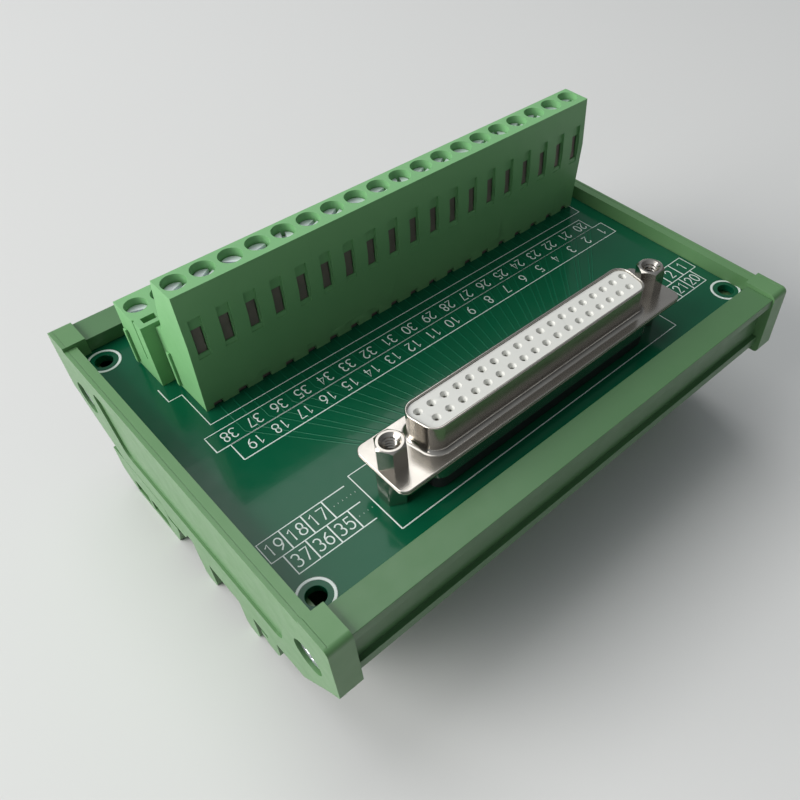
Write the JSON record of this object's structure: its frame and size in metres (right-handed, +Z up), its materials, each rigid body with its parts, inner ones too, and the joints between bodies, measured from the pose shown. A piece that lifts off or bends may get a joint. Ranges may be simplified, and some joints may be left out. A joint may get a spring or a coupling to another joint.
{
  "type": "d-sub terminal block adapter",
  "caption": "Interface board that breaks a D-sub socket out to two-level screw terminals, in a moulded carrier that clips on a DIN rail.",
  "frame": {"origin": "middle of the base that the carrier's feet stand on", "axes": "+X along the D-sub connector and the DIN rail, +Y towards the wire side of the terminals, +Z up from the feet to the terminal screws"},
  "size_m": [0.1146, 0.0894, 0.0615],
  "materials": {
    "carrier_green": "satin extruded plastic",
    "plate_green": "satin moulded plastic",
    "terminal_green": "satin moulded plastic",
    "board": "glossy solder mask",
    "nickel": "nickel plated steel",
    "steel": "zinc plated steel",
    "screw": "zinc plated steel",
    "insulator": "moulded plastic",
    "contact": "plated brass",
    "strip": "tinned brass",
    "cage": "plated steel"
  },
  "bodies": {
    "adapter": {"carrier_profile": "carrier_green", "end_plate_left": "plate_green", "end_plate_right": "plate_green", "end_plate_screws_left": "steel", "end_plate_screws_right": "steel", "circuit_board": "board", "dsub_front_shell": "nickel", "dsub_rear_shell": "nickel", "dsub_front_insulator": "insulator", "dsub_rear_insulator": "insulator", "dsub_contacts": "contact", "jack_post_left": "nickel", "jack_post_right": "nickel", "jack_spacers": "nickel", "board_bolts": "steel", "terminal_housing_1": "terminal_green", "contact_strips_1": "strip", "terminal_housing_2": "terminal_green", "contact_strips_2": "strip", "clamp_screws_2": "screw", "clamp_cages_2": "cage", "terminal_housing_3": "terminal_green", "contact_strips_3": "strip", "clamp_screws_3": "screw", "clamp_cages_3": "cage", "terminal_housing_4": "terminal_green", "contact_strips_4": "strip", "clamp_screws_4": "screw", "clamp_cages_4": "cage"},
    "clamp_screw_upper_1": {"clamp_screw_upper_1": "screw"},
    "clamp_cage_upper_1": {"clamp_cage_upper_1": "cage"},
    "clamp_screw_upper_2": {"clamp_screw_upper_2": "screw"},
    "clamp_cage_upper_2": {"clamp_cage_upper_2": "cage"},
    "clamp_screw_upper_3": {"clamp_screw_upper_3": "screw"},
    "clamp_cage_upper_3": {"clamp_cage_upper_3": "cage"},
    "clamp_screw_upper_4": {"clamp_screw_upper_4": "screw"},
    "clamp_cage_upper_4": {"clamp_cage_upper_4": "cage"},
    "clamp_screw_upper_5": {"clamp_screw_upper_5": "screw"},
    "clamp_cage_upper_5": {"clamp_cage_upper_5": "cage"},
    "clamp_screw_lower_1": {"clamp_screw_lower_1": "screw"},
    "clamp_cage_lower_1": {"clamp_cage_lower_1": "cage"},
    "clamp_screw_lower_2": {"clamp_screw_lower_2": "screw"},
    "clamp_cage_lower_2": {"clamp_cage_lower_2": "cage"},
    "clamp_screw_lower_3": {"clamp_screw_lower_3": "screw"},
    "clamp_cage_lower_3": {"clamp_cage_lower_3": "cage"},
    "clamp_screw_lower_4": {"clamp_screw_lower_4": "screw"},
    "clamp_cage_lower_4": {"clamp_cage_lower_4": "cage"},
    "clamp_screw_lower_5": {"clamp_screw_lower_5": "screw"},
    "clamp_cage_lower_5": {"clamp_cage_lower_5": "cage"},
    "rail_latch_left": {"rail_latch_left": "plate_green"},
    "rail_latch_right": {"rail_latch_right": "plate_green"}
  },
  "joints": [
    {"name": "clamp_screw_upper_1_turn", "type": "hinge", "parent": "adapter", "child": "clamp_screw_upper_1", "pos_m": [-0.04229, 0.0111, 0.058], "axis": [0, 0, 1], "range_deg": [-1440, 0]},
    {"name": "clamp_cage_upper_1_rise", "type": "slide", "parent": "adapter", "child": "clamp_cage_upper_1", "axis": [0, 0, 1], "range_m": [0, 0.002]},
    {"name": "clamp_screw_upper_2_turn", "type": "hinge", "parent": "adapter", "child": "clamp_screw_upper_2", "pos_m": [-0.03721, 0.0111, 0.058], "axis": [0, 0, 1], "range_deg": [-1440, 0]},
    {"name": "clamp_cage_upper_2_rise", "type": "slide", "parent": "adapter", "child": "clamp_cage_upper_2", "axis": [0, 0, 1], "range_m": [0, 0.002]},
    {"name": "clamp_screw_upper_3_turn", "type": "hinge", "parent": "adapter", "child": "clamp_screw_upper_3", "pos_m": [-0.03213, 0.0111, 0.058], "axis": [0, 0, 1], "range_deg": [-1440, 0]},
    {"name": "clamp_cage_upper_3_rise", "type": "slide", "parent": "adapter", "child": "clamp_cage_upper_3", "axis": [0, 0, 1], "range_m": [0, 0.002]},
    {"name": "clamp_screw_upper_4_turn", "type": "hinge", "parent": "adapter", "child": "clamp_screw_upper_4", "pos_m": [-0.02705, 0.0111, 0.058], "axis": [0, 0, 1], "range_deg": [-1440, 0]},
    {"name": "clamp_cage_upper_4_rise", "type": "slide", "parent": "adapter", "child": "clamp_cage_upper_4", "axis": [0, 0, 1], "range_m": [0, 0.002]},
    {"name": "clamp_screw_upper_5_turn", "type": "hinge", "parent": "adapter", "child": "clamp_screw_upper_5", "pos_m": [-0.02197, 0.0111, 0.058], "axis": [0, 0, 1], "range_deg": [-1440, 0]},
    {"name": "clamp_cage_upper_5_rise", "type": "slide", "parent": "adapter", "child": "clamp_cage_upper_5", "axis": [0, 0, 1], "range_m": [0, 0.002]},
    {"name": "clamp_screw_lower_1_turn", "type": "hinge", "parent": "adapter", "child": "clamp_screw_lower_1", "pos_m": [-0.04483, 0.027, 0.046], "axis": [0, 0, 1], "range_deg": [-1440, 0]},
    {"name": "clamp_cage_lower_1_rise", "type": "slide", "parent": "adapter", "child": "clamp_cage_lower_1", "axis": [0, 0, 1], "range_m": [0, 0.002]},
    {"name": "clamp_screw_lower_2_turn", "type": "hinge", "parent": "adapter", "child": "clamp_screw_lower_2", "pos_m": [-0.03975, 0.027, 0.046], "axis": [0, 0, 1], "range_deg": [-1440, 0]},
    {"name": "clamp_cage_lower_2_rise", "type": "slide", "parent": "adapter", "child": "clamp_cage_lower_2", "axis": [0, 0, 1], "range_m": [0, 0.002]},
    {"name": "clamp_screw_lower_3_turn", "type": "hinge", "parent": "adapter", "child": "clamp_screw_lower_3", "pos_m": [-0.03467, 0.027, 0.046], "axis": [0, 0, 1], "range_deg": [-1440, 0]},
    {"name": "clamp_cage_lower_3_rise", "type": "slide", "parent": "adapter", "child": "clamp_cage_lower_3", "axis": [0, 0, 1], "range_m": [0, 0.002]},
    {"name": "clamp_screw_lower_4_turn", "type": "hinge", "parent": "adapter", "child": "clamp_screw_lower_4", "pos_m": [-0.02959, 0.027, 0.046], "axis": [0, 0, 1], "range_deg": [-1440, 0]},
    {"name": "clamp_cage_lower_4_rise", "type": "slide", "parent": "adapter", "child": "clamp_cage_lower_4", "axis": [0, 0, 1], "range_m": [0, 0.002]},
    {"name": "clamp_screw_lower_5_turn", "type": "hinge", "parent": "adapter", "child": "clamp_screw_lower_5", "pos_m": [-0.02451, 0.027, 0.046], "axis": [0, 0, 1], "range_deg": [-1440, 0]},
    {"name": "clamp_cage_lower_5_rise", "type": "slide", "parent": "adapter", "child": "clamp_cage_lower_5", "axis": [0, 0, 1], "range_m": [0, 0.002]},
    {"name": "rail_latch_left_pull", "type": "slide", "parent": "adapter", "child": "rail_latch_left", "axis": [0, 1, 0], "range_m": [0, 0.0033], "stiffness_N_per_m": 1500, "springref_m": -0.0005},
    {"name": "rail_latch_right_pull", "type": "slide", "parent": "adapter", "child": "rail_latch_right", "axis": [0, 1, 0], "range_m": [0, 0.0033], "stiffness_N_per_m": 1500, "springref_m": -0.0005}
  ],
  "couplings": [
    {"joint": "clamp_screw_upper_1_turn", "follows": "clamp_cage_upper_1_rise", "rad_per_m": -12566},
    {"joint": "clamp_screw_upper_2_turn", "follows": "clamp_cage_upper_2_rise", "rad_per_m": -12566},
    {"joint": "clamp_screw_upper_3_turn", "follows": "clamp_cage_upper_3_rise", "rad_per_m": -12566},
    {"joint": "clamp_screw_upper_4_turn", "follows": "clamp_cage_upper_4_rise", "rad_per_m": -12566},
    {"joint": "clamp_screw_upper_5_turn", "follows": "clamp_cage_upper_5_rise", "rad_per_m": -12566},
    {"joint": "clamp_screw_lower_1_turn", "follows": "clamp_cage_lower_1_rise", "rad_per_m": -12566},
    {"joint": "clamp_screw_lower_2_turn", "follows": "clamp_cage_lower_2_rise", "rad_per_m": -12566},
    {"joint": "clamp_screw_lower_3_turn", "follows": "clamp_cage_lower_3_rise", "rad_per_m": -12566},
    {"joint": "clamp_screw_lower_4_turn", "follows": "clamp_cage_lower_4_rise", "rad_per_m": -12566},
    {"joint": "clamp_screw_lower_5_turn", "follows": "clamp_cage_lower_5_rise", "rad_per_m": -12566}
  ]
}
